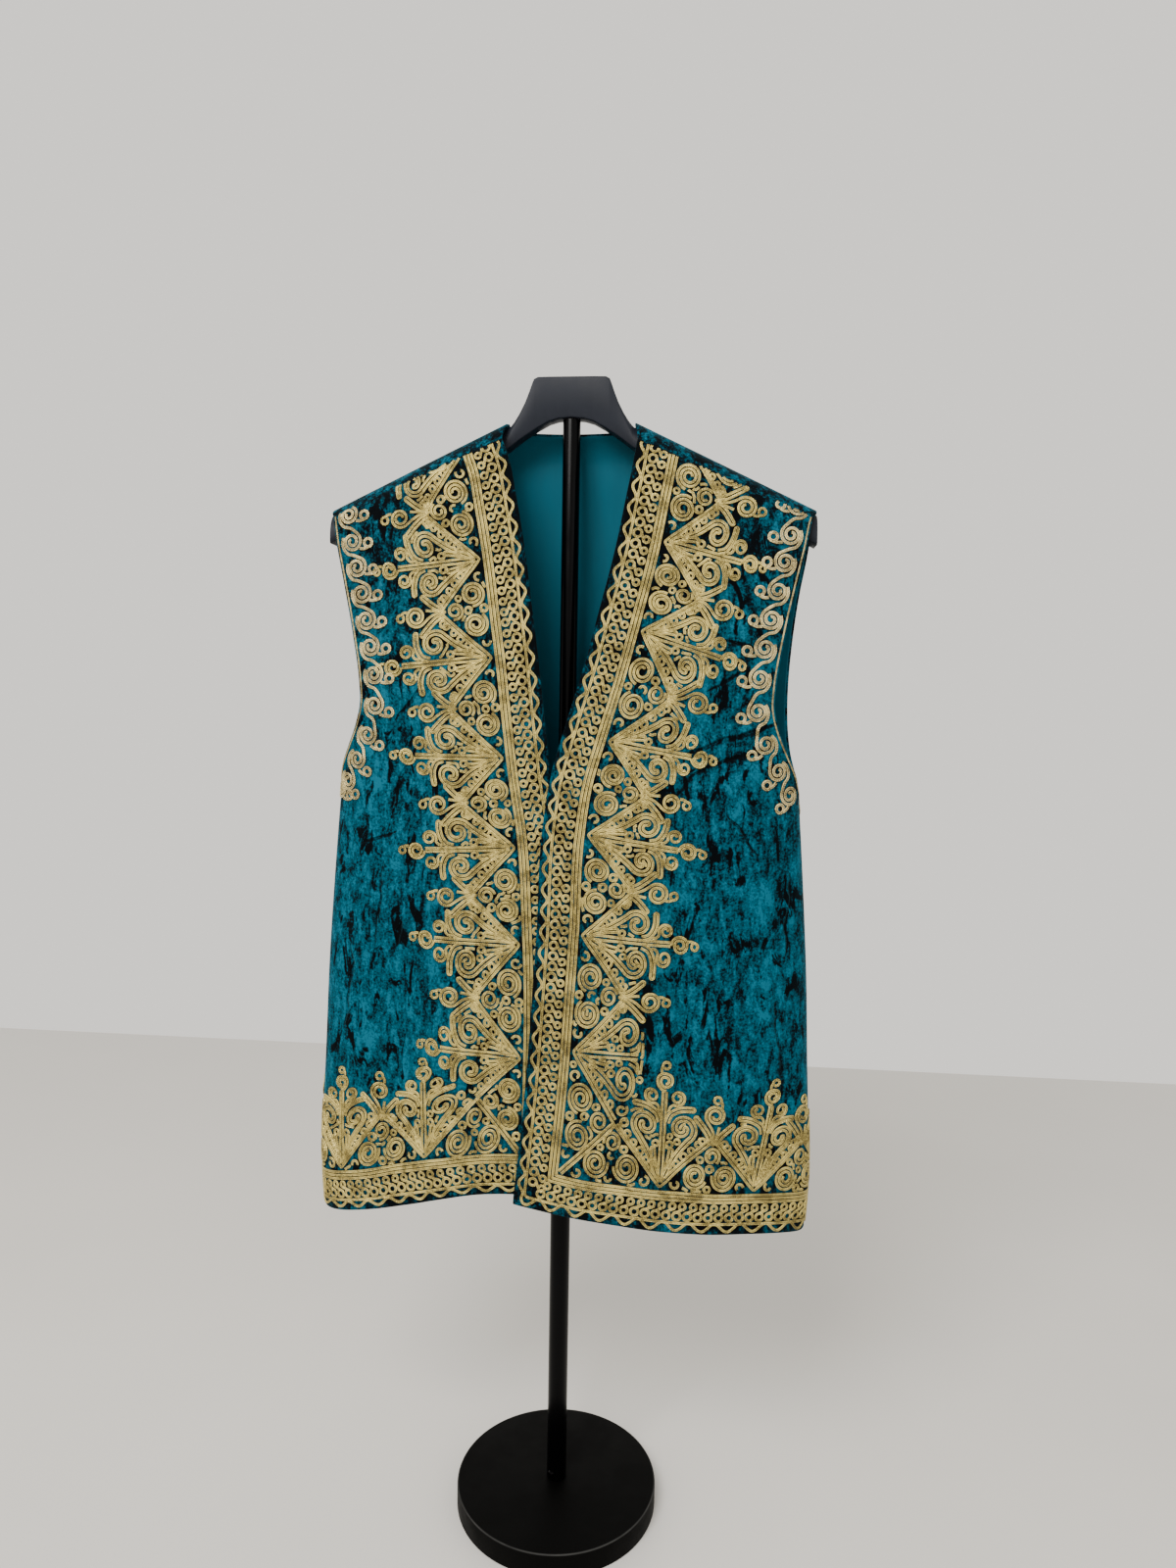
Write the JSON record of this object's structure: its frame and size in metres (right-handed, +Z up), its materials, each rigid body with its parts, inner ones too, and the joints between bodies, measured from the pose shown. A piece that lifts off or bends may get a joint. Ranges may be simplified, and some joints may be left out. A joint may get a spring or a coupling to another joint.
{
  "type": "embroidered folk vest on a hanger stand",
  "caption": "Sleeveless velvet folk waistcoat with couched gold cord scrollwork, hung open at the neck on a telescopic pole stand with a wide hanger and a round foot.",
  "frame": {"origin": "centre of the round foot's underside, on the floor", "axes": "+Z up the pole; -Y out of the vest's front; +X towards the wearer's left"},
  "size_m": [0.4735, 0.1954, 1.0825],
  "materials": {
    "velvet": "crushed velvet, peacock teal, mottled dark where the pile lies away",
    "lining": "smooth plain-woven lining, teal",
    "gold_cord": "couched two-ply metallic cord, antique gold",
    "pale_gold_cord": "couched two-ply metallic cord, pale gold",
    "foot_paint": "satin black powder coat",
    "tube_paint": "gloss black enamel",
    "hanger_plastic": "charcoal satin moulded plastic"
  },
  "bodies": {
    "base": {"stand_foot": "foot_paint", "lower_tube": "tube_paint", "lock_collar": "tube_paint"},
    "mast": {"upper_tube": "tube_paint", "hanger_yoke": "hanger_plastic", "back_panel": "velvet", "back_lining": "lining", "back_hem_border": "gold_cord", "back_hem_scrollwork": "gold_cord", "left_back_armhole_vine": "pale_gold_cord", "right_back_armhole_vine": "pale_gold_cord", "left_front": "velvet", "left_front_border": "gold_cord", "left_front_scrollwork": "gold_cord", "left_front_armhole_vine": "pale_gold_cord", "right_front": "velvet", "right_front_border": "gold_cord", "right_front_scrollwork": "gold_cord", "right_front_armhole_vine": "pale_gold_cord"}
  },
  "joints": [
    {"name": "mast_height", "type": "slide", "parent": "base", "child": "mast", "axis": [0, 0, 1], "range_m": [-0.15, 0.15]}
  ]
}
